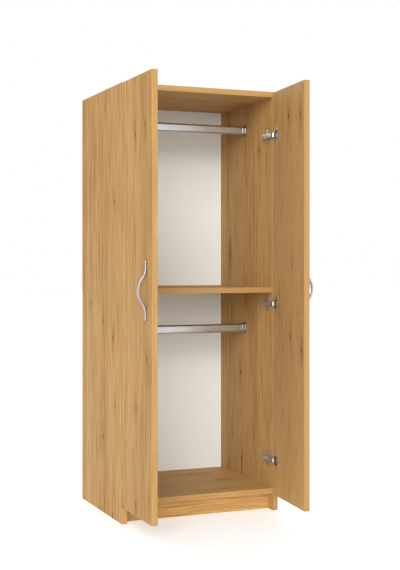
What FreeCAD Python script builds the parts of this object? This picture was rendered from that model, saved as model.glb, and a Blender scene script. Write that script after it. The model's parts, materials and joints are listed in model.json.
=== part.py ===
import FreeCAD, Part
import Sketcher
import math
import os
import re

# Child-height wardrobe with two hinged doors and two hanging rails.
# Millimetres. +Z up, the doors face -Y, X = 0 is the middle. The origin is on the
# floor under the middle of the plinth board. Both doors stand open.

# ---------------------------------------------------------------- driving sizes
SIZES = {
    # carcass
    "tall": 1400,
    "wide": 550,
    "deep": 435,
    "board": 18,
    "edging": 1,
    "plinth_tall": 57,
    "plinth_recess": 36,
    "shelf_low": 729,
    "back_thick": 3,
    "back_lap": 8,
    # doors
    "door_low": 54,
    "door_drop": 2,
    "door_gap": 3,
    "door_reveal": 1.5,
    "left_open": 90,
    "right_open": 84,
    # concealed hinges; the pivot is measured from the door's hinge edge and inner face
    "pivot_edge": 7,
    "pivot_deep": 9,
    "cup_radius": 17.5,
    "cup_wall": 1,
    "cup_deep": 12.5,
    "cup_edge": 3,
    "cup_rim": 1,
    "pin_radius": 1.25,
    "pin_play": 0.05,
    "knuckle_radius": 2,
    "knuckle_half": 5.7,
    "link_half": 6.8,
    "link_thick": 2,
    "arm_half": 8,
    "arm_out": 10,
    "arm_back": 64,
    "plate_screw_back": 37,
    "plate_screw_half": 16,
    "cup_screw_half": 24,
    "cup_screw_off": 6,
    # hanging rails, oval tube
    "rail_tall": 30,
    "rail_thick": 15,
    "rail_wall": 1,
    "rail_back": 222,
    "upper_rail": 1294,
    "lower_rail": 600,
    "socket_tall": 44,
    "socket_wide": 30,
    "socket_base": 3,
    "socket_deep": 11,
    # bow handles
    "grip_long": 178,
    "grip_wide": 10,
    "grip_thick": 6,
    "grip_out": 30,
    "grip_foot": 20,
    "grip_edge": 47,
    "grip_middle": 745,
    "grip_screws": 160,
    # cam fittings and dowels
    "cam_radius": 7.5,
    "cam_deep": 12.5,
    "cam_in": 34,
    "bolt_radius": 3.5,
    "dowel_radius": 4,
    "dowel_in": 20,
    "side_hole": 11,
    "fitting_front": 60,
    "fitting_back": 375,
    "dowel_step": 32,
}
HINGE_LEVELS = {"bottom": 170, "middle": 692, "top": 1255}

# Places worked out from the driving sizes, as formulas of the sheet.
FRONT = "-(plinth_recess + board / 2)"          # Y of the carcass's front plane
INSIDE = "(wide / 2 - board)"                   # X of a side's inner face
REAR = f"({FRONT} + deep)"                      # Y of the carcass's rear plane
PIVOT_X = "(wide / 2 - door_reveal - pivot_edge)"
PIVOT_Y = f"({FRONT} - door_gap - pivot_deep)"
DOOR_WIDE = "(wide / 2 - 2 * door_reveal)"
DOOR_FREE = f"({DOOR_WIDE} - pivot_edge)"       # pivot to the door's free edge
CUP_X = "(-(cup_edge + cup_radius - pivot_edge))"
DOOR_TOP = "(tall - door_drop)"
SIDES = {"left": -1, "right": 1}

# Cross for the screwdriver: reach of its slots against the head's radius, and its depth.
CROSS_LONG = 0.55
CROSS_THIN = 0.16
CROSS_DEEP = 1.2

nodes = {}            # finished sub-parts by name
doc = FreeCAD.newDocument("wardrobe")
sheet = doc.addObject("Spreadsheet::Sheet", "Sizes")
for row, (alias, value) in enumerate(SIZES.items(), start=1):
    sheet.set(f"A{row}", alias)
    sheet.set(f"B{row}", str(value))
    sheet.setAlias(f"B{row}", alias)
doc.recompute()


# -------------------------------------------------------------------- helpers
def bound(formula):
    """The formula with each size read from the sheet."""
    def cell(word):
        return f"Sizes.{word.group()}" if word.group() in SIZES else word.group()
    return re.sub(r"[a-z_]+", cell, str(formula))


def place(solid, x, y, z):
    """Bind a primitive's position to formulas."""
    for letter, formula in zip("xyz", (x, y, z)):
        solid.setExpression(f"Placement.Base.{letter}", bound(formula))


def mirrored(side, low, high):
    """The same stretch of X on the other side, where side is -1."""
    return (low, high) if side > 0 else (f"-({high})", f"-({low})")


def box(name, x, y, z, side=1):
    """Box between three (low, high) pairs of formulas."""
    x = mirrored(side, *x)
    solid = doc.addObject("Part::Box", name)
    for prop, (low, high) in zip(("Length", "Width", "Height"), (x, y, z)):
        solid.setExpression(prop, bound(f"({high}) - ({low})"))
    place(solid, x[0], y[0], z[0])
    return solid


TURNS = {
    "X": FreeCAD.Rotation(FreeCAD.Vector(0, 1, 0), 90),
    "Y": FreeCAD.Rotation(FreeCAD.Vector(1, 0, 0), -90),
    "Z": FreeCAD.Rotation(),
}


def rod(name, axis, x, y, z, radius, side=1):
    """Round bar along an axis. The axis's own coordinate is a (low, high) pair.

    A pair of radii makes a cone from the low end to the high end.
    """
    ends = {"X": x, "Y": y, "Z": z}[axis]
    if axis == "X":
        x = mirrored(side, *x)[0]
    elif side < 0:
        x = f"-({x})"
    start = [x, y, z]
    if axis != "X":
        start["XYZ".index(axis)] = ends[0]
    tapered = isinstance(radius, tuple)
    solid = doc.addObject("Part::Cone" if tapered else "Part::Cylinder", name)
    if tapered:
        first, last = radius[::side] if axis == "X" else radius
        solid.setExpression("Radius1", bound(first))
        solid.setExpression("Radius2", bound(last))
    else:
        solid.setExpression("Radius", bound(radius))
    solid.setExpression("Height", bound(f"({ends[1]}) - ({ends[0]})"))
    solid.Placement.Rotation = TURNS[axis]
    place(solid, *start)
    return solid


def joined(name, pieces):
    """One object of all the pieces; pieces that touch become one solid."""
    if len(pieces) == 1:
        return pieces[0]
    result = doc.addObject("Part::MultiFuse", name)
    result.Shapes = pieces
    return result


def cut(name, base, tools):
    """The base with the tools' volumes removed."""
    result = doc.addObject("Part::Cut", name)
    result.Base = base
    result.Tool = tools[0] if len(tools) == 1 else group(f"{name}_tools", tools)
    return result


def group(name, pieces):
    """Pieces kept as separate solids in one object."""
    result = doc.addObject("Part::Compound", name)
    result.Links = pieces
    return result


def sketch_on(body, plane, name, offset=None):
    """Sketch on one of the body's own origin planes."""
    sketch = body.newObject("Sketcher::SketchObject", name)
    origin_plane = next(f for f in body.Origin.OriginFeatures if f.Role == plane)
    sketch.AttachmentSupport = [(origin_plane, "")]
    sketch.MapMode = "FlatFace"
    if offset:
        sketch.setExpression("AttachmentOffset.Base.z", bound(offset))
    return sketch


def number(formula):
    """The formula's present value."""
    return float(sheet.evalExpression(bound(formula)))


def dimension(sketch, kind, formula, *where):
    """Driving dimension bound to a formula."""
    index = sketch.addConstraint(Sketcher.Constraint(kind, *where, number(formula)))
    sketch.setExpression(f"Constraints[{index}]", bound(formula))


def oval(sketch, x, y, tall, wide):
    """Upright oval, two half circles joined by straight sides."""
    radius = f"({wide}) / 2"
    rise = f"(({tall}) - ({wide})) / 2"
    cx, cy, r, up = (number(f) for f in (x, y, radius, rise))
    normal = FreeCAD.Vector(0, 0, 1)
    first = sketch.GeometryCount
    for centre_y, start in ((cy + up, 0), (cy - up, math.pi)):
        circle = Part.Circle(FreeCAD.Vector(cx, centre_y, 0), normal, r)
        sketch.addGeometry(Part.ArcOfCircle(circle, start, start + math.pi))
    for line_x, end in ((cx - r, -1), (cx + r, 1)):
        sketch.addGeometry(Part.LineSegment(
            FreeCAD.Vector(line_x, cy - end * up, 0), FreeCAD.Vector(line_x, cy + end * up, 0)))
    top, bottom, left, right = range(first, first + 4)
    for a, a_end, b, b_end in ((top, 2, left, 1), (left, 2, bottom, 1),
                               (bottom, 2, right, 1), (right, 2, top, 1)):
        sketch.addConstraint(Sketcher.Constraint("Tangent", a, a_end, b, b_end))
    sketch.addConstraint(Sketcher.Constraint("Equal", top, bottom))
    sketch.addConstraint(Sketcher.Constraint("Vertical", left))
    dimension(sketch, "Radius", radius, top)
    dimension(sketch, "DistanceX", x, -1, 1, top, 3)
    dimension(sketch, "DistanceY", f"({y}) + {rise}", -1, 1, top, 3)
    dimension(sketch, "DistanceY", f"2 * {rise}", bottom, 3, top, 3)


def pad_along_x(body, name, ovals, span, side=1):
    """Pad of the ovals, drawn in the YZ plane, over a stretch of X."""
    low, high = mirrored(side, *span)
    sketch = sketch_on(body, "YZ_Plane", f"{name}_outline", low)
    for outline in ovals:
        oval(sketch, *outline)
    pad = body.newObject("PartDesign::Pad", name)
    pad.Profile = sketch
    pad.setExpression("Length", bound(f"({high}) - ({low})"))
    return pad


def finished(name, piece):
    """Name a sub-part and keep it for the export."""
    piece.Label = name
    nodes[name] = piece
    return piece


def hung(name, piece, side):
    """A door's piece, modelled closed about the pivot, turned to the open position."""
    turned = group(f"{name}_open", [piece])
    angle = "right_open" if side > 0 else "-left_open"
    turned.Placement = FreeCAD.Placement(FreeCAD.Vector(), FreeCAD.Vector(0, 0, 1), number(angle))
    turned.setExpression("Placement.Rotation.Angle", bound(angle))
    turned.setExpression("Placement.Base.x", bound(f"{side} * {PIVOT_X}"))
    turned.setExpression("Placement.Base.y", bound(PIVOT_Y))
    return finished(name, turned)


def cross_socket(axis, x, y, z, head, side=1):
    """Two crossed slots in a screw's head. The axis's own coordinate is a (low, high) pair."""
    slots = []
    for reaches in ((CROSS_LONG, CROSS_THIN), (CROSS_THIN, CROSS_LONG)):
        reach = iter(reaches)
        spans = []
        for letter, formula in zip("XYZ", (x, y, z)):
            if letter == axis:
                spans.append(formula)
            else:
                half = next(reach) * head
                spans.append((f"{formula} - {half}", f"{formula} + {half}"))
        slots.append(box("slot", *spans, side))
    return slots


def driven(name, pairs):
    """Finish (screw, slots) pairs, and give back the plain screws, which cut the holes."""
    plain = group(f"{name}_plain", [screw for screw, _ in pairs])
    finished(name, cut(f"{name}_driven", plain, [slot for _, slots in pairs for slot in slots]))
    return plain


# -------------------------------------------------------- fittings in the boards
PANEL_LOW = {
    "top": "(tall - board)",
    "middle": "shelf_low",
    "bottom": "plinth_tall",
}
PLINTH_DOWELS = ("plinth_tall / 4", "plinth_tall * 3 / 4")
BOLT_REACH = "cam_radius / 3"                   # bolt's end, out from the cam's middle
cams = []
bolts = []
dowels = []
for panel, low in PANEL_LOW.items():
    cam_z = (f"{low} + board - cam_deep", f"{low} + board") if panel == "top" else (
        low, f"{low} + cam_deep")
    middle = f"{low} + board / 2"
    for side in SIDES.values():
        for back in ("fitting_front", "fitting_back"):
            y = f"{FRONT} + {back}"
            cam_x = f"{INSIDE} - cam_in"
            cams.append(rod("cam", "Z", cam_x, y, cam_z, "cam_radius", side))
            bolts.append(rod("bolt", "X", (f"{cam_x} + {BOLT_REACH}", f"{INSIDE} + side_hole"),
                             y, middle, "bolt_radius", side))
            dowels.append(rod("dowel", "X", (f"{INSIDE} - dowel_in", f"{INSIDE} + side_hole"),
                              f"{y} - dowel_step", middle, "dowel_radius", side))
for side in SIDES.values():
    for z in PLINTH_DOWELS:
        dowels.append(rod("dowel", "X", (f"{INSIDE} - dowel_in", f"{INSIDE} + side_hole"),
                          0, z, "dowel_radius", side))
cam_bolts = finished("cam_bolts", group("bolts", bolts))
wood_dowels = finished("wood_dowels", group("dowels", dowels))
solid_cams = group("cams", cams)
finished("cam_locks", cut("cams_bored", solid_cams, [cam_bolts]))


# Countersunk screws: radius of the head, its height, radius of the shank.
BACK_SCREW = (3, 1.8, 1.25)
BACK_SCREW_LONG = 16
BACK_SCREWS_ACROSS = ("-wide / 3", "-wide / 9", "wide / 9", "wide / 3")
BACK_SCREWS_UP = ("tall * 0.2", "tall * 0.4", "tall * 0.62", "tall * 0.82")


def back_screw(x, z, side):
    """Small countersunk screw through the back panel, head flush, and the cross in its head."""
    head, head_deep, shank = BACK_SCREW
    neck = f"{REAR} - {head_deep}"
    screw = joined("back_screw", [
        rod("shank", "Y", x, (f"{REAR} - {BACK_SCREW_LONG}", neck), z, shank, side),
        rod("head", "Y", x, (neck, REAR), z, (shank, head), side)])
    return screw, cross_socket("Y", x, (f"{REAR} - {CROSS_DEEP}", REAR), z, head, side)


def side_screw(face, y, z, sizes, side):
    """Countersunk screw into a side panel, flush with a face that looks inwards, and its cross."""
    head, head_deep, shank = sizes
    neck = f"{face} + {head_deep}"
    screw = joined("side_screw", [
        rod("head", "X", (face, neck), y, z, (head, shank), side),
        rod("shank", "X", (neck, f"{INSIDE} + side_hole"), y, z, shank, side)])
    return screw, cross_socket("X", (face, f"{face} + {CROSS_DEEP}"), y, z, head, side)


back_screws = []
for low in PANEL_LOW.values():
    for x in BACK_SCREWS_ACROSS:
        back_screws.append(back_screw(x, f"{low} + board / 2", 1))
for side in SIDES.values():
    for z in BACK_SCREWS_UP:
        back_screws.append(back_screw(f"{INSIDE} + back_lap / 2", z, side))
rear_screws = driven("back_panel_screws", back_screws)


# ------------------------------------------------- hanging rails and their sockets
RAILS = {"upper": "upper_rail", "lower": "lower_rail"}
RAIL_Y = f"{FRONT} + rail_back"
SOCKET_SCREW = (3.4, 1.8, 1.75)
SOCKET_SCREW_UP = 8
SOCKET_WALL = 3       # collar round the rail's end
SOCKET_PLAY = 0.4     # between the rail and the collar, both sides together
socket_screws = []
for level in RAILS.values():
    for side in SIDES.values():
        for z in (f"{level} - {SOCKET_SCREW_UP}", f"{level} + {SOCKET_SCREW_UP}"):
            socket_screws.append(side_screw(f"{INSIDE} - socket_base", RAIL_Y, z, SOCKET_SCREW, side))
rail_screws = driven("rail_socket_screws", socket_screws)

for level_name, level in RAILS.items():
    rail = doc.addObject("PartDesign::Body", "rail")
    end = f"({INSIDE} - socket_base)"
    pad_along_x(rail, "tube", [
        (RAIL_Y, level, "rail_tall", "rail_thick"),
        (RAIL_Y, level, "rail_tall - 2 * rail_wall", "rail_thick - 2 * rail_wall")],
        (f"-{end}", end))
    finished(f"{level_name}_hanging_rail", rail)
    for side_name, side in SIDES.items():
        socket = doc.addObject("PartDesign::Body", "socket")
        pad_along_x(socket, "flange", [(RAIL_Y, level, "socket_tall", "socket_wide")],
                    (f"{INSIDE} - socket_base", INSIDE), side)
        pad_along_x(socket, "collar", [
            (RAIL_Y, level, f"rail_tall + 2 * {SOCKET_WALL}", f"rail_thick + 2 * {SOCKET_WALL}"),
            (RAIL_Y, level, f"rail_tall + {SOCKET_PLAY}", f"rail_thick + {SOCKET_PLAY}")],
            (f"{INSIDE} - socket_deep", f"{INSIDE} - socket_base"), side)
        finished(f"{level_name}_{side_name}_rail_socket", cut("socket_drilled", socket, [rail_screws]))


# ------------------------------------------- hinge halves fixed to the side panels
CORE_OUT = 8          # mounting plate's core, out from the side
CORE_HALF = 6
CORE_ALONG = (18, 60)  # core's ends, behind the front plane
PLATE_SCREW = (4, 1.6, 2.5)
WING_THICK = 2.5
WING_TALL = 50
WING_WIDE = 12
FLANGE_PLAY = 0.2     # between the arm's flanges and the core
ARM_START = 12        # arm's channel, behind the front plane
ARM_SCREWS = (24, 52)
ARM_SCREW_HEAD = (3.2, 1.6)
ARM_SCREW_SHANK = 1.9
ARM_SCREW_SHORT = 1   # its end, out from the side
BEND = 8              # outer radius of the link's bend
KNUCKLE_REACH = 4.5   # link narrows to the knuckle this far from the pivot
arm_screws = []
plate_screws = []
for level in HINGE_LEVELS.values():
    for side in SIDES.values():
        for back in ARM_SCREWS:
            y = f"{FRONT} + {back}"
            web = f"{INSIDE} - arm_out"
            head, head_deep = ARM_SCREW_HEAD
            top = f"{web} - {head_deep}"
            screw = joined("arm_screw", [
                rod("head", "X", (top, web), y, level, head, side),
                rod("shank", "X", (web, f"{INSIDE} - {ARM_SCREW_SHORT}"), y, level,
                    ARM_SCREW_SHANK, side)])
            slots = cross_socket("X", (top, f"{top} + {CROSS_DEEP}"), y, level, head, side)
            arm_screws.append((screw, slots))
        for z in (f"{level} - plate_screw_half", f"{level} + plate_screw_half"):
            y = f"{FRONT} + plate_screw_back"
            plate_screws.append(side_screw(f"{INSIDE} - {WING_THICK}", y, z, PLATE_SCREW, side))
arm_fasteners = driven("hinge_arm_screws", arm_screws)
plate_fasteners = driven("hinge_plate_screws", plate_screws)


def mounting_plate(level, side):
    """Cross-shaped plate: a core for the arm and two screwed wings."""
    body = doc.addObject("PartDesign::Body", "plate")
    pad_along_x(body, "wings", [(f"{FRONT} + plate_screw_back", level, WING_TALL, WING_WIDE)],
                (f"{INSIDE} - {WING_THICK}", INSIDE), side)
    core = box("core", (f"{INSIDE} - {CORE_OUT}", INSIDE), [f"{FRONT} + {end}" for end in CORE_ALONG],
               (f"{level} - {CORE_HALF}", f"{level} + {CORE_HALF}"), side)
    return cut("plate_drilled", joined("plate_whole", [body, core]), [arm_fasteners, plate_fasteners])


def hinge_arm(level, side):
    """Channel over the plate's core, and the bent link to the knuckle at the pivot."""
    outer = f"{INSIDE} - arm_out"
    under = f"{outer} + link_thick"
    channel_y = (f"{FRONT} + {ARM_START}", f"{FRONT} + arm_back")
    channel = box("channel", (outer, f"{INSIDE} - {WING_THICK}"), channel_y,
                  (f"{level} - arm_half", f"{level} + arm_half"), side)
    hollow_half = CORE_HALF + FLANGE_PLAY
    hollow = box("hollow", (under, INSIDE), channel_y,
                 (f"{level} - {hollow_half}", f"{level} + {hollow_half}"), side)
    bend_x = f"({outer} + {BEND})"
    bend_y = f"({PIVOT_Y} - link_thick + {BEND})"
    link_z = (f"{level} - link_half", f"{level} + link_half")
    knuckle_z = (f"{level} - knuckle_half", f"{level} + knuckle_half")
    neck = box("neck", (outer, under), (bend_y, f"{FRONT} + {ARM_START}"), link_z, side)
    bend = cut("bend", quarter(bend_x, bend_y, link_z, BEND, side),
               [quarter(bend_x, bend_y, link_z, f"{BEND} - link_thick", side)])
    leg_y = (f"{PIVOT_Y} - link_thick", PIVOT_Y)
    narrow = f"{PIVOT_X} - {KNUCKLE_REACH}"
    leg = box("leg", (bend_x, narrow), leg_y, link_z, side)
    tongue = box("tongue", (narrow, PIVOT_X), leg_y, knuckle_z, side)
    knuckle = rod("knuckle", "Z", PIVOT_X, PIVOT_Y, knuckle_z, "knuckle_radius", side)
    bore = rod("bore", "Z", PIVOT_X, PIVOT_Y, link_z, "pin_radius + pin_play", side)
    formed = joined("arm_whole", [cut("arm_channel", channel, [hollow]), neck, bend, leg, tongue, knuckle])
    return cut("arm_bored", formed, [bore, arm_fasteners])


def quarter(x, y, z, radius, side):
    """Quarter round towards the front and the cabinet's middle, for the link's bend."""
    solid = rod("quarter", "Z", x, y, z, radius, side)
    solid.Angle = 90
    turn = 180 if side > 0 else 270
    solid.Placement.Rotation = FreeCAD.Rotation(FreeCAD.Vector(0, 0, 1), turn)
    return solid


for level_name, level in HINGE_LEVELS.items():
    for side_name, side in SIDES.items():
        finished(f"{side_name}_{level_name}_hinge_plate", mounting_plate(level, side))
        finished(f"{side_name}_{level_name}_hinge_arm", hinge_arm(level, side))


# ------------------------------------------------------------------ carcass boards
BOARD_Y = (f"{FRONT} + edging", f"{REAR} - back_thick")
EDGE_Y = (FRONT, f"{FRONT} + edging")
ACROSS = (f"-{INSIDE}", INSIDE)
for panel, low in PANEL_LOW.items():
    name = {"top": "top_panel", "middle": "middle_shelf", "bottom": "bottom_panel"}[panel]
    high = f"{low} + board"
    board = box("board", ACROSS, BOARD_Y, (low, high))
    finished(name, cut(f"{panel}_drilled", board, [solid_cams, cam_bolts, wood_dowels, rear_screws]))
    finished(f"{name}_edging", box("edge", ACROSS, EDGE_Y, (low, high)))
for side_name, side in SIDES.items():
    across = (INSIDE, "wide / 2")
    board = box("board", across, (f"{FRONT} + edging", REAR), (0, "tall"), side)
    rebate = box("rebate", (INSIDE, f"{INSIDE} + back_lap"), (f"{REAR} - back_thick", REAR),
                 ("plinth_tall", "tall"), side)
    finished(f"{side_name}_side_panel", cut("side_drilled", board, [
        rebate, cam_bolts, wood_dowels, rear_screws, rail_screws, plate_fasteners]))
    finished(f"{side_name}_side_edging", box("edge", across, EDGE_Y, (0, "tall"), side))
plinth = box("plinth", ACROSS, ("-board / 2", "board / 2"), (0, "plinth_tall"))
finished("plinth_board", cut("plinth_drilled", plinth, [wood_dowels]))
lap = f"({INSIDE} + back_lap)"
back = box("back", (f"-{lap}", lap), (f"{REAR} - back_thick", REAR), ("plinth_tall", "tall"))
finished("back_panel", cut("back_drilled", back, [rear_screws]))


# ------------------------------------------------------------------------- doors
# Modelled closed, with the pivot on the local Z axis; local +Y is towards the cabinet.
FACE_IN = "pivot_deep"
FACE_OUT = "(pivot_deep - board)"
RIM_OUT = "(pivot_deep + cup_rim)"
CUP_FLOOR = "(pivot_deep - cup_deep)"
SCREW_X = f"({CUP_X} - cup_screw_off)"
PIN_HALF = 9.2
CUP_SLOT_HALF = 7.1   # cup's slot beside the link
CUP_SLOT_END = 1.4
KNUCKLE_PLAY = 0.25
NOSE_PLAY = 0.3       # above and below the knuckle
CUP_ROUND_END = 9     # cup's round hollow stops this far from its middle
EAR_RADIUS = 6
RIM_LAP = 1
CUP_SCREW = (3.4, 1.4, 1.75)
CUP_SCREW_LONG = 14
GRIP_ROUND = 2
GRIP_SCREW_HEAD = (4, 2)
GRIP_SCREW_SHANK = 2
GRIP_SCREW_IN = 4     # into the handle's foot
BUMPER = (4, 2.6)     # radius and height
BUMPER_IN = 10        # from the door's free edge


def hinge_cup(level, side, pins, screws):
    """Sprung-in cup with a rim, two screw ears and a slot for the link."""
    rim_y = (FACE_IN, RIM_OUT)
    ears = [rod("ear", "Y", SCREW_X, rim_y, f"{level} + {sign} * cup_screw_half", EAR_RADIUS, side)
            for sign in (-1, 1)]
    strip = box("strip", (f"{SCREW_X} - {EAR_RADIUS}", f"{SCREW_X} + {EAR_RADIUS}"), rim_y,
                (f"{level} - cup_screw_half", f"{level} + cup_screw_half"), side)
    rim = rod("rim", "Y", CUP_X, rim_y, level, f"cup_radius + {RIM_LAP}", side)
    shell = rod("shell", "Y", CUP_X, (CUP_FLOOR, FACE_IN), level, "cup_radius", side)
    hollow_y = (f"{CUP_FLOOR} + cup_wall", f"{RIM_OUT} + 1")
    round_end = f"{CUP_X} + {CUP_ROUND_END}"
    hollow = cut("hollow", rod("round", "Y", CUP_X, hollow_y, level, "cup_radius - cup_wall", side), [
        box("stop", (round_end, f"{CUP_X} + 2 * cup_radius"), hollow_y,
            (f"{level} - cup_radius", f"{level} + cup_radius"), side)])
    slot = box("slot", (CUP_X, CUP_SLOT_END), hollow_y,
               (f"{level} - {CUP_SLOT_HALF}", f"{level} + {CUP_SLOT_HALF}"), side)
    nose_half = f"(knuckle_half + {NOSE_PLAY})"
    nose = box("nose", (CUP_X, f"knuckle_radius + {KNUCKLE_PLAY}"), hollow_y,
               (f"{level} - {nose_half}", f"{level} + {nose_half}"), side)
    formed = joined("cup_whole", [shell, rim, strip] + ears)
    return cut("cup_hollow", formed, [hollow, slot, nose, pins, screws])


def bow_handle(side):
    """Flat bar bowed away from the door, its two feet flat on the door's outer face."""
    thick, wide, foot = (number(f"grip_{word}") for word in ("thick", "wide", "foot"))
    near = thick / 2
    rise = number("grip_out") - thick
    ends = number("grip_long") / 2
    run = ends - foot
    radius = (rise ** 2 + run ** 2) / (4 * rise)
    turn = 2 * math.atan(rise / run)

    def point(out, up):
        return FreeCAD.Vector(0, -out, up)

    def on_foot_arc(angle, end):
        return point(near + radius * (1 - math.cos(angle)), end * (run - radius * math.sin(angle)))

    crown = point(near + rise, 0)
    edges = [
        Part.LineSegment(point(near, -ends), point(near, -run)),
        Part.Arc(point(near, -run), on_foot_arc(turn / 2, -1), on_foot_arc(turn, -1)),
        Part.Arc(on_foot_arc(turn, -1), crown, on_foot_arc(turn, 1)),
        Part.Arc(on_foot_arc(turn, 1), on_foot_arc(turn / 2, 1), point(near, run)),
        Part.LineSegment(point(near, run), point(near, ends)),
    ]
    spine = Part.Wire([edge.toShape() for edge in edges])
    section = Part.makeBox(wide, thick, 1, FreeCAD.Vector(-wide / 2, -thick, -ends))
    upright = [edge for edge in section.Edges if abs(edge.tangentAt(edge.FirstParameter).z) > 0.9]
    rounded = section.makeFillet(GRIP_ROUND, upright)
    outline = min(rounded.Faces, key=lambda face: face.CenterOfMass.z).OuterWire
    bar = doc.addObject("Part::Feature", "bow")
    bar.Shape = spine.makePipe(Part.Face(outline))
    place(bar, f"{-side} * ({DOOR_FREE} - grip_edge)", FACE_OUT, "grip_middle")
    return bar


for side_name, side in SIDES.items():
    across = (f"-{DOOR_FREE}", "pivot_edge")
    inset = (f"{across[0]} + edging", f"{across[1]} - edging")
    through = (FACE_OUT, FACE_IN)
    upright = ("door_low", DOOR_TOP)
    core_z = ("door_low + edging", f"{DOOR_TOP} - edging")
    pins = group("pins", [
        rod("pin", "Z", 0, 0, (f"{level} - {PIN_HALF}", f"{level} + {PIN_HALF}"), "pin_radius", side)
        for level in HINGE_LEVELS.values()])
    head, head_deep, shank = CUP_SCREW
    neck = f"{RIM_OUT} - {head_deep}"
    cup_screw_z = [f"{level} {sign} cup_screw_half" for level in HINGE_LEVELS.values() for sign in "-+"]
    cup_screws = group("cup_screws", [
        joined("cup_screw", [
            rod("head", "Y", SCREW_X, (neck, RIM_OUT), z, (shank, head), side),
            rod("shank", "Y", SCREW_X, (f"{RIM_OUT} - {CUP_SCREW_LONG}", neck), z, shank, side)])
        for z in cup_screw_z])
    cup_slots = [
        slot for z in cup_screw_z
        for slot in cross_socket("Y", SCREW_X, (f"{RIM_OUT} - {CROSS_DEEP}", RIM_OUT), z, head, side)]
    grip_x = f"-({DOOR_FREE} - grip_edge)"
    grip_screw_z = [f"grip_middle {sign} grip_screws / 2" for sign in "-+"]
    pan, pan_deep = GRIP_SCREW_HEAD
    pan_top = f"{FACE_IN} + {pan_deep}"
    grip_screws = group("grip_screws", [
        joined("grip_screw", [
            rod("pan", "Y", grip_x, (FACE_IN, pan_top), z, pan, side),
            rod("shank", "Y", grip_x, (f"{FACE_OUT} - {GRIP_SCREW_IN}", FACE_IN), z,
                GRIP_SCREW_SHANK, side)])
        for z in grip_screw_z])
    grip_slots = [
        slot for z in grip_screw_z
        for slot in cross_socket("Y", grip_x, (f"{pan_top} - {CROSS_DEEP}", pan_top), z, pan, side)]
    bumpers = group("bumpers", [
        rod("bumper", "Y", f"-({DOOR_FREE} - {BUMPER_IN})", (FACE_IN, f"{FACE_IN} + {BUMPER[1]}"), z,
            BUMPER[0], side)
        for z in ("tall - board / 2", "plinth_tall + board / 2")])
    bores = [rod("cup_bore", "Y", CUP_X, (CUP_FLOOR, FACE_IN), level, "cup_radius", side)
             for level in HINGE_LEVELS.values()]
    door = box("door_board", inset, through, core_z, side)
    frame = box("door_outline", across, through, upright, side)
    hung(f"{side_name}_door", cut("door_drilled", door, bores + [cup_screws, grip_screws]), side)
    hung(f"{side_name}_door_edging", cut("door_edge", frame, [door]), side)
    for level_name, level in HINGE_LEVELS.items():
        hung(f"{side_name}_{level_name}_hinge_cup", hinge_cup(level, side, pins, cup_screws), side)
    hung(f"{side_name}_hinge_pins", pins, side)
    hung(f"{side_name}_hinge_cup_screws", cut("cup_screws_driven", cup_screws, cup_slots), side)
    hung(f"{side_name}_handle", cut("bow_drilled", bow_handle(side), [grip_screws]), side)
    hung(f"{side_name}_handle_screws", cut("grip_screws_driven", grip_screws, grip_slots), side)
    hung(f"{side_name}_door_bumpers", bumpers, side)


# ------------------------------------------------------------------------ export
doc.recompute()
failed = [item.Name for item in doc.Objects if {"Invalid", "Error"} & set(item.State)]
if failed:
    raise RuntimeError(f"objects in error: {failed}")
os.makedirs("parts", exist_ok=True)
for name, node in nodes.items():
    if node.Shape.isNull() or not node.Shape.isValid() or not node.Shape.Solids:
        raise RuntimeError(f"{name} has no valid solid")
for name, node in nodes.items():
    node.Shape.exportStep(f"parts/{name}.step")
    size = node.Shape.BoundBox
    print(f"{name}: {len(node.Shape.Solids)} solids, {node.Shape.Volume / 1000:.1f} cm3, "
          f"{size.XLength:.1f} x {size.YLength:.1f} x {size.ZLength:.1f} mm")
print(f"{len(nodes)} sub-parts")
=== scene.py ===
import json
import math

import bpy
from mathutils import Matrix, Vector


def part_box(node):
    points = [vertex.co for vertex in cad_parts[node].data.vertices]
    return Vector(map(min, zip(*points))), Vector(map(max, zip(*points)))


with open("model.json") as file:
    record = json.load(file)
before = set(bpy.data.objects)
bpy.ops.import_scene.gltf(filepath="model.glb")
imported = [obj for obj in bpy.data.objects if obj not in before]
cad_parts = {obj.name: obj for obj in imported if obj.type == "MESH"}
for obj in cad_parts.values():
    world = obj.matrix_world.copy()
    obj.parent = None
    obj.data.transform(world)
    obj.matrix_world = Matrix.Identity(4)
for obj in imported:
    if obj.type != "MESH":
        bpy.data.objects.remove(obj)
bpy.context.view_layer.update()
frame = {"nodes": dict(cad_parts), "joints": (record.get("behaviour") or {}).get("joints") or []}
NODES = frame["nodes"]
JOINTS = {joint["name"]: joint for joint in frame["joints"]}
SCENE = bpy.context.scene

# ---------------------------------------------------------------- places and sizes, in metres
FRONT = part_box("right_side_edging")[0].y              # front of the sides

CAMERA_AT = Vector((-1.409, FRONT - 3.358, 0.823))    # left of the open doors, above half height
CAMERA_TURN = math.radians(22.6)                      # to the right of straight at the back
FOCAL = 1.961                                         # focal length, in picture heights
SHIFT_ACROSS = 0.002
SHIFT_UP = -0.036
SENSOR = 36.0

WHITE = (1, 1, 1, 1)
BACKGROUND = 1.0          # what the camera sees behind the wardrobe
SKY = 0.50                # what lights the wardrobe from all round
SUNS = {
    # direction the light travels in, strength, width of the light in degrees
    "key_sun": ((0.46, 0.83, -0.31), 2.35, 44),
    "front_fill": ((0.26, 0.96, 0.03), 1.15, 80),
    "back_sun": ((-0.35, -0.85, -0.4), 1.8, 60),
}
FLOOR_WIDE = 60.0
FLOOR_WHITE = (0.93, 0.93, 0.93, 1)
FLOOR_GLOW = 0.36         # lifts the floor to the white behind it

EDGE_ROUND = 0.0004       # what the trimmer leaves on the edging's corners


# ---------------------------------------------------------------- camera, light and floor
def link(thing):
    """Puts a new object into the scene and gives it back."""
    SCENE.collection.objects.link(thing)
    return thing


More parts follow.
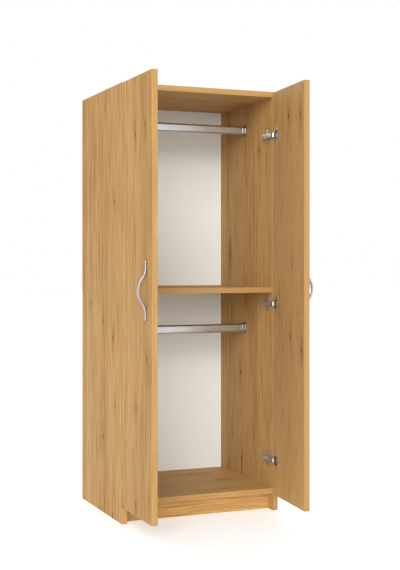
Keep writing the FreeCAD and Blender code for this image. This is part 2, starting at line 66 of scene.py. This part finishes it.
def make_camera():
    """The photographer's place. The camera is level, so the uprights stay parallel."""
    data = bpy.data.cameras.new("camera")
    camera = link(bpy.data.objects.new("camera", data))
    data.sensor_fit = "VERTICAL"
    data.sensor_height = SENSOR
    data.lens = FOCAL * SENSOR
    data.shift_x = SHIFT_ACROSS
    data.shift_y = SHIFT_UP
    data.dof.use_dof = False
    camera.location = CAMERA_AT
    camera.rotation_euler = (math.radians(90), 0, -CAMERA_TURN)
    SCENE.camera = camera


def make_light():
    """A white studio: plain white behind, softer white light all round, and wide soft suns."""
    SCENE.view_settings.view_transform = "Standard"
    world = bpy.data.worlds.new("studio")
    world.use_nodes = True
    SCENE.world = world
    tree = world.node_tree
    seen = tree.nodes["Background"]
    seen.inputs["Strength"].default_value = BACKGROUND
    seen.inputs["Color"].default_value = WHITE
    lit = tree.nodes.new("ShaderNodeBackground")
    lit.inputs["Strength"].default_value = SKY
    lit.inputs["Color"].default_value = WHITE
    ray = tree.nodes.new("ShaderNodeLightPath")
    either = tree.nodes.new("ShaderNodeMixShader")
    tree.links.new(ray.outputs["Is Camera Ray"], either.inputs[0])
    tree.links.new(lit.outputs[0], either.inputs[1])
    tree.links.new(seen.outputs[0], either.inputs[2])
    tree.links.new(either.outputs[0], tree.nodes["World Output"].inputs["Surface"])
    for name, (toward, strength, wide) in SUNS.items():
        data = bpy.data.lights.new(name, "SUN")
        sun = link(bpy.data.objects.new(name, data))
        data.energy = strength
        data.angle = math.radians(wide)
        sun.rotation_euler = Vector(toward).to_track_quat("-Z", "Y").to_euler()


def make_floor():
    """A plain pale floor, much wider than any view of it."""
    mesh = bpy.data.meshes.new("floor")
    half = FLOOR_WIDE / 2
    corners = [(-half, -half, 0), (half, -half, 0), (half, half, 0), (-half, half, 0)]
    mesh.from_pydata(corners, [], [(0, 1, 2, 3)])
    floor = link(bpy.data.objects.new("floor", mesh))
    paint = Paint("floor_paint", roughness=0.9)
    paint.set("Base Color", FLOOR_WHITE)
    paint.set("Specular IOR Level", 0.1)
    paint.set("Emission Color", WHITE)
    paint.set("Emission Strength", FLOOR_GLOW)
    floor.data.materials.append(paint.material)


# ---------------------------------------------------------------- node builder
class Paint:
    """A material being built: each call adds one node and gives its output back."""

    def __init__(self, name, roughness=0.5, metallic=0.0):
        self.material = bpy.data.materials.new(name)
        self.material.use_nodes = True
        self.tree = self.material.node_tree
        self.shader = self.tree.nodes["Principled BSDF"]
        self.set("Roughness", roughness)
        self.set("Metallic", metallic)

    def feed(self, socket, value):
        """A link for another node's output, and a plain value for a number, vector or colour."""
        if isinstance(value, bpy.types.NodeSocket):
            self.tree.links.new(value, socket)
        else:
            socket.default_value = value

    def set(self, name, value):
        self.feed(self.shader.inputs[name], value)

    def node(self, kind, inputs, output=0, **settings):
        made = self.tree.nodes.new(kind)
        for key, value in settings.items():
            setattr(made, key, value)
        for key, value in inputs.items():
            self.feed(made.inputs[key], value)
        return made.outputs[output]

    def math(self, operation, a, b=0.0):
        return self.node("ShaderNodeMath", {0: a, 1: b}, operation=operation)

    def add(self, *terms):
        total = terms[0]
        for term in terms[1:]:
            total = self.math("ADD", total, term)
        return total

    def times(self, a, b):
        return self.math("MULTIPLY", a, b)

    def step(self, value, low, high, to_low=0.0, to_high=1.0):
        """A soft step of value from low to high."""
        inputs = {
            "Value": value,
            "From Min": low,
            "From Max": high,
            "To Min": to_low,
            "To Max": to_high,
        }
        return self.node("ShaderNodeMapRange", inputs, interpolation_type="SMOOTHSTEP")

    def mix(self, share, a, b):
        """Colour b over colour a, by that share."""
        inputs = {0: share, 6: a, 7: b}
        return self.node("ShaderNodeMix", inputs, output=2, data_type="RGBA")

    def vector(self, x, y, z=0.0):
        return self.node("ShaderNodeCombineXYZ", {0: x, 1: y, 2: z})

    def parts(self, vector):
        made = self.tree.nodes.new("ShaderNodeSeparateXYZ")
        self.tree.links.new(vector, made.inputs[0])
        return list(made.outputs)

    def noise(self, vector, detail=2.0, roughness=0.5, scale=1.0):
        inputs = {"Vector": vector, "Scale": scale, "Detail": detail, "Roughness": roughness}
        return self.node("ShaderNodeTexNoise", inputs)

    def bell(self, across, along, wide, tall):
        """One in the middle of an oval of that half width and half height, less further out."""
        x = self.math("POWER", self.times(across, 1 / wide), 2.0)
        y = self.math("POWER", self.times(along, 1 / tall), 2.0)
        return self.math("EXPONENT", self.times(self.add(x, y), -1.0))

    def bump(self, height, deep):
        """Relief, where a height of 1 stands that many metres proud."""
        inputs = {"Strength": 1.0, "Distance": deep, "Height": height}
        self.set("Normal", self.node("ShaderNodeBump", inputs))

    def spot(self):
        """Where on the piece, in metres. It stays with the piece when the piece moves."""
        return self.node("ShaderNodeTexCoord", {}, output="Object")

    def facing(self):
        """Which way the face looks, in the piece's own frame."""
        return self.node("ShaderNodeTexCoord", {}, output="Normal")


# ---------------------------------------------------------------- oak decor
WOOD_DARK = (0.310, 0.150, 0.040, 1)
WOOD_MIDDLE = (0.425, 0.238, 0.076, 1)
WOOD_LIGHT = (0.530, 0.325, 0.122, 1)
WOOD_PINK = (0.500, 0.290, 0.125, 1)
KNOT_BROWN = (0.150, 0.062, 0.018, 1)
TAIL_BROWN = (0.245, 0.115, 0.030, 1)
WORN_PALE = (0.700, 0.500, 0.290, 1)
FLAKE_PALE = (0.520, 0.370, 0.205, 1)
FLAKE_DARK = (0.200, 0.120, 0.060, 1)
EDGE_TINT = (0.420, 0.246, 0.084, 1)

NOISES = {
    # name: cells in a metre across and along the grain, slice of the noise, detail
    "ragged": (160, 60, 0, 1),
    "sway": (3, 1.1, 0, 1),
    "wobble": (4, 2.5, 4, 1),
    "streak": (80, 1.3, 0, 2),
    "line": (190, 2.6, 2, 2),
    "thread": (420, 7, 3, 2),
    "hair": (1300, 16, 5, 2),
    "patch": (7, 2.2, 7, 2),
    "fleck": (215, 9, 8, 1),
    "hill": (11, 0.9, 9, 0),
}
TONE_OF_NOISE = {"streak": 0.50, "line": 1.00, "thread": 1.80, "patch": 0.35}
TONE_OF_STAVE = 0.26
TONE_OF_FLAME = 0.060
SEED_STEP = 1.7           # how far apart two seeds lie in the noises
PINK_SHARE = 0.55         # how strongly each of these colours covers the print
PORE_SHARE = 0.30
FLECK_SHARE = 0.50
HALO_SHARE = 0.28
TAIL_SHARE = 0.55
CORE_SHARE = 0.70
EDGE_TINT_SHARE = 0.62

STAVES = 21.0             # printed staves in a metre of width
STAVE_WOBBLE = 0.25       # in staves
STAVE_SOFT = 0.18
SWAY = 0.030              # metres that the grain wanders sideways
FLAME_RINGS = 95          # how closely the cathedral lines follow each other

KNOTS_ACROSS = 8.5        # cells for a knot in a metre of width and of length
KNOTS_ALONG = 3.4
KNOT_CORE = (0.0065, 0.0130)      # half width and half height, in metres
KNOT_TAIL = (0.0060, 0.045)
KNOT_HALO = (0.016, 0.075)
KNOT_FLOW = (0.030, 0.120)        # where the grain bends round the knot
KNOT_RAGGED = 0.006               # how far its outline wanders, in metres
KNOT_BEND = -0.8                  # how hard it pushes the grain aside
KNOT_CHANCE = (0.30, 0.75)        # a cell's draw below the first has no knot, above the second all of it

# How far the print is shifted, in metres across and along: for each seed, and on the other face
BOARD_SHIFT = (0.731, 1.37)
STRIP_SHIFT = (0.67, 1.9)
FAR_FACE_SHIFT = (5.37, 2.11)
STRIP_SEED = 3                    # added to a strip's seed for its noises
CHIPS = 0.0030                    # deepest chip at a board's corner


class Board:
    """A board's own frame: which way its grain runs, and how thick it is."""

    def __init__(self, node, grain, thick, seed, painted_lightness=0.0, joint=None):
        self.grain = "XYZ".index(grain)
        self.thick = "XYZ".index(thick)
        self.wide = 3 - self.grain - self.thick
        self.seed = seed
        # painted light and shade: how much paler this board's print is drawn, darker where negative, for
        # the light that falls on it
        self.painted_lightness = painted_lightness
        self.turn = None
        if joint:      # a door is drawn open, and its print lies as on the closed door
            sign = JOINTS[joint]["axis"][2]
            self.turn = math.radians(JOINTS[joint]["range_deg"][1]) * sign
            self.pivot = Vector(JOINTS[joint]["pos_m"])
        places = [self.closed(vertex.co) for vertex in NODES[node].data.vertices]
        self.low = [min(place[axis] for place in places) for axis in range(3)]
        self.high = [max(place[axis] for place in places) for axis in range(3)]

    def closed(self, place):
        if self.turn is None:
            return place
        return Matrix.Rotation(self.turn, 3, "Z") @ (place - self.pivot) + self.pivot


def board_frame(paint, board):
    """The place across the grain, along it and through the board, and the face's normal."""
    spot = paint.spot()
    facing = paint.facing()
    if board.turn is not None:
        turned = {"Angle": board.turn, "Center": board.pivot}
        place = {"Vector": spot, **turned}
        spot = paint.node("ShaderNodeVectorRotate", place, rotation_type="Z_AXIS")
        direction = {"Vector": facing, "Angle": board.turn, "Center": (0, 0, 0)}
        facing = paint.node("ShaderNodeVectorRotate", direction, rotation_type="Z_AXIS")
    places = paint.parts(spot)
    faces = paint.parts(facing)
    return places[board.wide], places[board.grain], places[board.thick], faces


def layer(paint, name, across, along, seed):
    """One of the noises of the print, stretched along the grain."""
    wide, tall, part, detail = NOISES[name]
    place = paint.vector(paint.times(across, wide), paint.times(along, tall), seed * SEED_STEP + part)
    return paint.noise(place, detail=detail)


def knot_parts(paint, across, along, seed):
    """How far a place is inside a knot's core, tail and halo, and across bent round the knot."""
    at = paint.vector(paint.times(across, KNOTS_ACROSS), paint.times(along, KNOTS_ALONG))
    cells = paint.tree.nodes.new("ShaderNodeTexVoronoi")
    cells.voronoi_dimensions = "2D"
    cells.inputs["Scale"].default_value = 1.0
    cells.inputs["Randomness"].default_value = 0.9
    paint.tree.links.new(at, cells.inputs["Vector"])
    ends = {0: at, 1: cells.outputs["Position"]}
    away = paint.node("ShaderNodeVectorMath", ends, operation="SUBTRACT")
    away_x, away_y, _ = paint.parts(away)
    away_x = paint.times(away_x, 1 / KNOTS_ACROSS)
    away_y = paint.times(away_y, 1 / KNOTS_ALONG)
    chance = paint.parts(cells.outputs["Color"])[0]
    strength = paint.step(chance, *KNOT_CHANCE)
    ragged = layer(paint, "ragged", across, along, seed)
    edge_x = paint.add(away_x, paint.times(paint.add(ragged, -0.5), KNOT_RAGGED))
    core = paint.times(paint.step(paint.bell(edge_x, away_y, *KNOT_CORE), 0.25, 0.70), strength)
    tail = paint.times(paint.bell(edge_x, away_y, *KNOT_TAIL), strength)
    halo = paint.times(paint.bell(away_x, away_y, *KNOT_HALO), strength)
    flow = paint.times(paint.bell(away_x, away_y, *KNOT_FLOW), strength)
    bent = paint.add(across, paint.times(paint.times(away_x, flow), KNOT_BEND))
    return core, tail, halo, bent


def staves(paint, across, along, seed):
    """Two numbers for each printed stave: its tone and its hue."""
    wobble = layer(paint, "wobble", across, along, seed)
    inputs = {
        "W": paint.add(paint.times(across, STAVES), paint.times(wobble, STAVE_WOBBLE)),
        "Scale": 1.0,
        "Smoothness": STAVE_SOFT,
        "Randomness": 0.85,
    }
    stave = paint.node(
        "ShaderNodeTexVoronoi", inputs, output="Color", voronoi_dimensions="1D", feature="SMOOTH_F1"
    )
    tone, hue, _ = paint.parts(stave)
    return tone, hue


def grain(paint, across, along, seed, painted_lightness=0.0, knots=True):
    """The print itself, its tone moved by the painted light and shade it is given. Gives its colour, and
    how high and how rough it is.
    """
    bent = across
    if knots:
        core, tail, halo, bent = knot_parts(paint, across, along, seed)
    sway = layer(paint, "sway", across, along, seed)
    flow_across = paint.add(bent, paint.times(sway, SWAY))
    noises = {
        name: layer(paint, name, flow_across, along, seed)
        for name in ("streak", "line", "thread", "hair", "fleck", "hill")
    }
    noises["patch"] = layer(paint, "patch", across, along, seed)
    flame = paint.math("SINE", paint.times(noises["hill"], FLAME_RINGS))
    stave_tone, stave_hue = staves(paint, across, along, seed)

    terms = [paint.times(paint.add(stave_tone, -0.5), TONE_OF_STAVE), paint.times(flame, TONE_OF_FLAME)]
    for name, weight in TONE_OF_NOISE.items():
        terms.append(paint.times(paint.add(noises[name], -0.5), weight))
    # painted light and shade: the board's own shift moves the whole print paler, darker where negative
    tone = paint.add(0.5 + painted_lightness, *terms)
    dark_half = paint.mix(paint.step(tone, 0.15, 0.5), WOOD_DARK, WOOD_MIDDLE)
    colour = paint.mix(paint.step(tone, 0.5, 0.85), dark_half, WOOD_LIGHT)
    colour = paint.mix(paint.step(stave_hue, 0.35, 0.95, 0.0, PINK_SHARE), colour, WOOD_PINK)
    pore = paint.step(noises["hair"], 0.60, 0.72)
    colour = paint.mix(paint.times(pore, PORE_SHARE), colour, TAIL_BROWN)
    fleck = paint.step(noises["fleck"], 0.61, 0.72, 0.0, FLECK_SHARE)
    colour = paint.mix(fleck, colour, TAIL_BROWN)
    if knots:
        colour = paint.mix(paint.times(halo, HALO_SHARE), colour, WOOD_DARK)
        colour = paint.mix(paint.times(tail, TAIL_SHARE), colour, TAIL_BROWN)
        colour = paint.mix(paint.times(core, CORE_SHARE), colour, KNOT_BROWN)
    height = paint.add(paint.times(noises["line"], 0.4), paint.times(pore, -0.6))
    rough = paint.step(noises["line"], 0.2, 0.8, 0.46, 0.60)
    return colour, height, rough


def chipboard(paint):
    """Raw chipboard, where a board has no edging: pressed flakes and dust."""
    spot = paint.spot()
    flakes = paint.node(
        "ShaderNodeTexVoronoi", {"Vector": spot, "Scale": 420.0}, output="Color", feature="F1"
    )
    dust = paint.noise(spot, detail=4, scale=160.0)
    tone = paint.add(paint.times(paint.parts(flakes)[0], 0.7), paint.times(dust, 0.5))
    return paint.mix(paint.step(tone, 0.2, 1.0), FLAKE_DARK, FLAKE_PALE)


def board_paint(name, board, raw_ends=True):
    """Decor foil on both faces, worn a little at the corners, and chipboard at the cut ends; its print
    drawn paler or darker as painted light and shade.
    """
    paint = Paint(name, roughness=0.46)
    across, along, deep, faces = board_frame(paint, board)
    middle = (board.low[board.thick] + board.high[board.thick]) / 2
    far_face = paint.math("GREATER_THAN", deep, middle)
    printed = [
        paint.add(place, board.seed * own_shift, paint.times(far_face, far_shift))
        for place, own_shift, far_shift in zip((across, along), BOARD_SHIFT, FAR_FACE_SHIFT)
    ]
    # the print carries this board's painted light and shade
    colour, height, rough = grain(paint, *printed, board.seed, board.painted_lightness)

    nearest = None
    for place, axis in ((across, board.wide), (along, board.grain)):
        half = (board.high[axis] - board.low[axis]) / 2
        centre = (board.high[axis] + board.low[axis]) / 2
        room = paint.math("SUBTRACT", half, paint.math("ABSOLUTE", paint.add(place, -centre)))
        nearest = room if nearest is None else paint.math("MINIMUM", nearest, room)
    chips = paint.noise(paint.spot(), detail=3, scale=210.0)
    worn_to = paint.add(nearest, paint.times(chips, -CHIPS))
    worn = paint.step(worn_to, -0.0016, 0.0004, 1.0, 0.0)
    colour = paint.mix(paint.times(worn, 0.35), colour, WORN_PALE)
    rough = paint.add(rough, paint.times(worn, 0.15))

    if raw_ends:
        flat = paint.math("ABSOLUTE", faces[board.thick])
        cut = paint.step(flat, 0.4, 0.6, 1.0, 0.0)
        colour = paint.mix(cut, colour, chipboard(paint))
        rough = paint.add(rough, paint.times(cut, 0.35))
    paint.set("Base Color", colour)
    paint.set("Roughness", rough)
    paint.set("Specular IOR Level", 0.10)
    paint.bump(height, 0.00012)
    return paint.material


def edging_paint(name, board):
    """Plastic edging strip: the same decor without knots, evened out by a tint, scuffed, and drawn paler
    or darker as painted light and shade.
    """
    paint = Paint(name, roughness=0.42)
    across, along, deep, faces = board_frame(paint, board)
    level = paint.math("GREATER_THAN", paint.math("ABSOLUTE", faces[2]), 0.5)
    if board.grain == 2:       # an upright strip's level ends, as on the top of a door
        upright = paint.math("SUBTRACT", 1.0, level)
        along, across = (
            paint.add(paint.times(level, across), paint.times(upright, along)),
            paint.add(paint.times(level, along), paint.times(upright, across)),
        )
    shift_across, shift_along = STRIP_SHIFT
    print_across = paint.add(across, deep, board.seed * shift_across)
    print_along = paint.add(along, board.seed * shift_along)
    seed = board.seed + STRIP_SEED
    # the print carries this strip's painted light and shade
    colour, height, rough = grain(paint, print_across, print_along, seed, board.painted_lightness, knots=False)
    colour = paint.mix(EDGE_TINT_SHARE, colour, EDGE_TINT)
    scuff = paint.noise(paint.spot(), detail=4, scale=90.0)
    colour = paint.mix(paint.step(scuff, 0.62, 0.80, 0.0, 0.35), colour, WORN_PALE)
    paint.set("Base Color", colour)
    paint.set("Roughness", paint.add(rough, paint.step(scuff, 0.3, 0.8, -0.06, 0.08)))
    paint.set("Specular IOR Level", 0.25)
    paint.bump(height, 0.00008)
    return paint.material


# ---------------------------------------------------------------- white foil, hardboard and small parts
FOIL_WHITE = (0.90, 0.945, 0.94, 1)
FOIL_DIM = (0.86, 0.905, 0.90, 1)
FOIL_SPECK = (0.70, 0.68, 0.63, 1)
HARDBOARD_PALE = (0.46, 0.31, 0.175, 1)
HARDBOARD_DARK = (0.20, 0.115, 0.055, 1)
BEECH_PALE = (0.62, 0.42, 0.24, 1)
BEECH_FLECK = (0.36, 0.20, 0.10, 1)
BUMPER_CLEAR = (0.42, 0.27, 0.11, 1)      # clear plastic shows the decor under it
BUMPER_DUSTY = (0.58, 0.42, 0.22, 1)
STAIN = 0.90                              # how dark a stained place is, against clean metal


def back_paint():
    """White foil with a faint pebble in front, raw brown hardboard behind."""
    paint = Paint("white_foil", roughness=0.5)
    spot = paint.spot()
    _, y, _ = paint.parts(paint.facing())
    behind = paint.math("GREATER_THAN", y, 0.5)
    cloud = paint.noise(spot, detail=3, scale=3.0)
    speck = paint.noise(spot, detail=2, scale=900.0)
    white = paint.mix(cloud, FOIL_DIM, FOIL_WHITE)
    white = paint.mix(paint.step(speck, 0.66, 0.8, 0.0, 0.25), white, FOIL_SPECK)
    fibre = paint.noise(spot, detail=5, roughness=0.7, scale=240.0)
    brown = paint.mix(fibre, HARDBOARD_DARK, HARDBOARD_PALE)
    paint.set("Base Color", paint.mix(behind, white, brown))
    satin = paint.step(cloud, 0.2, 0.8, 0.42, 0.55)
    paint.set("Roughness", paint.add(paint.times(behind, 0.35), satin))
    height = paint.add(paint.noise(spot, detail=1, scale=420.0), paint.times(fibre, behind))
    paint.bump(height, 0.0001)
    return paint.material


def metal_paint(name, colour, roughness, brushed=None, pitted=0.0):
    """Metal with faint stains, with fine lines along one axis if brushed, and pits if cast."""
    paint = Paint(name, metallic=1.0)
    spot = paint.spot()
    stain = paint.noise(spot, detail=4, scale=25.0)
    shade = tuple(part * STAIN for part in colour[:3]) + (1,)
    tone = paint.mix(paint.step(stain, 0.35, 0.75), colour, shade)
    height = paint.noise(spot, detail=2, scale=1500.0)
    rough = paint.step(stain, 0.3, 0.7, roughness * 0.9, roughness * 1.15)
    if brushed:
        scales = [18.0 if axis == brushed else 2600.0 for axis in "XYZ"]
        lines = paint.node("ShaderNodeVectorMath", {0: spot, 1: scales}, operation="MULTIPLY")
        brush = paint.noise(lines, detail=2)
        tone = paint.mix(paint.step(brush, 0.3, 0.8, 0.0, 0.4), tone, shade)
        rough = paint.add(rough, paint.step(brush, 0.3, 0.7, -0.05, 0.08))
        height = brush
    if pitted:
        pits = paint.noise(spot, detail=3, scale=700.0)
        tone = paint.mix(paint.step(pits, 0.55, 0.7, 0.0, pitted), tone, shade)
        height = pits
    paint.set("Base Color", tone)
    paint.set("Roughness", rough)
    paint.bump(height, 0.00004)
    return paint.material


def beech_paint():
    """Plain pale beech with short dark flecks along X, the way the dowels lie."""
    paint = Paint("beech_dowel", roughness=0.6)
    stretch = {0: paint.spot(), 1: (120.0, 1500.0, 1500.0)}
    lines = paint.node("ShaderNodeVectorMath", stretch, operation="MULTIPLY")
    fleck = paint.noise(lines, detail=2)
    colour = paint.mix(paint.step(fleck, 0.5, 0.75), BEECH_PALE, BEECH_FLECK)
    paint.set("Base Color", colour)
    paint.bump(fleck, 0.0002)
    return paint.material


def bumper_paint():
    """Soft clear plastic, a little dusty."""
    paint = Paint("bumper_plastic", roughness=0.25)
    dust = paint.noise(paint.spot(), detail=3, scale=900.0)
    paint.set("Base Color", paint.mix(dust, BUMPER_CLEAR, BUMPER_DUSTY))
    paint.set("Roughness", paint.step(dust, 0.3, 0.7, 0.18, 0.40))
    paint.set("Coat Weight", 0.4)
    paint.bump(dust, 0.00005)
    return paint.material


# ---------------------------------------------------------------- putting the materials on
def dress(node, material):
    """The CAD node keeps its shape and gets this material."""
    for place in NODES[node].material_slots:
        place.material = material


def soften(node, width):
    """Rounds a node's sharp corners, so that they catch the light as real ones do."""
    thing = NODES[node]
    weld = thing.modifiers.new("weld", "WELD")
    weld.merge_threshold = 1e-5
    bevel = thing.modifiers.new("bevel", "BEVEL")
    bevel.width = width
    bevel.segments = 2
    bevel.limit_method = "ANGLE"
    bevel.angle_limit = math.radians(40)
    thing.modifiers.new("normals", "WEIGHTED_NORMAL")


BOARDS = {
    # node: way of the grain, way of the thickness, seed of its print, how much paler it is drawn as
    # painted light and shade (darker where negative), joint of a door
    "left_side_panel": ("Z", "X", 2),
    "right_side_panel": ("Z", "X", 5, 0.18),
    "top_panel": ("X", "Z", 7, 0.35),
    "middle_shelf": ("X", "Z", 11, 0.10),
    "bottom_panel": ("X", "Z", 13, 0.75),
    "plinth_board": ("X", "Y", 17, 0.0),
    "left_door": ("Z", "Y", 19, 0.0, "left_door_hinge"),
    "right_door": ("Z", "Y", 23, 0.27, "right_door_hinge"),
}
# the same columns; here too the fifth number is painted light and shade: it draws a strip paler, and
# darker where negative, for how the light falls on it
STRIPS = {
    "left_side_edging": ("Z", "Y", 3),
    "right_side_edging": ("Z", "Y", 6, -0.60),
    "top_panel_edging": ("X", "Y", 8),
    "middle_shelf_edging": ("X", "Y", 12, -0.45),
    "bottom_panel_edging": ("X", "Y", 14),
    "left_door_edging": ("Z", "Y", 20, 0.0, "left_door_hinge"),
    "right_door_edging": ("Z", "Y", 24, -0.40, "right_door_hinge"),
}
RAW = {node for node in BOARDS if not node.endswith("_door")}     # chipboard shows at their ends

SMALL = {
    # material of the CAD: what it is drawn with
    "white_back": back_paint(),
    "rail_chrome": metal_paint("drawn_chrome", (0.62, 0.64, 0.66, 1), 0.30, brushed="X"),
    "socket_metal": metal_paint("socket_chrome", (0.40, 0.385, 0.37, 1), 0.30),
    "hinge_nickel": metal_paint("hinge_nickel_plate", (0.52, 0.50, 0.47, 1), 0.30),
    "handle_satin": metal_paint("satin_alloy", (0.43, 0.42, 0.43, 1), 0.34, brushed="Z"),
    "fastener_steel": metal_paint("zinc_plate", (0.46, 0.43, 0.37, 1), 0.38),
    "cam_zinc": metal_paint("cast_zinc", (0.46, 0.46, 0.45, 1), 0.48, pitted=0.6),
    "beech": beech_paint(),
    "clear_bumper": bumper_paint(),
}

make_camera()
make_light()
make_floor()

for node, facts in BOARDS.items():
    dress(node, board_paint(f"{node}_decor", Board(node, *facts), raw_ends=node in RAW))
for node, facts in STRIPS.items():
    dress(node, edging_paint(f"{node}_decor", Board(node, *facts)))
    soften(node, EDGE_ROUND)
for thing in NODES.values():
    for place in thing.material_slots:
        if place.material.name in SMALL:
            place.material = SMALL[place.material.name]
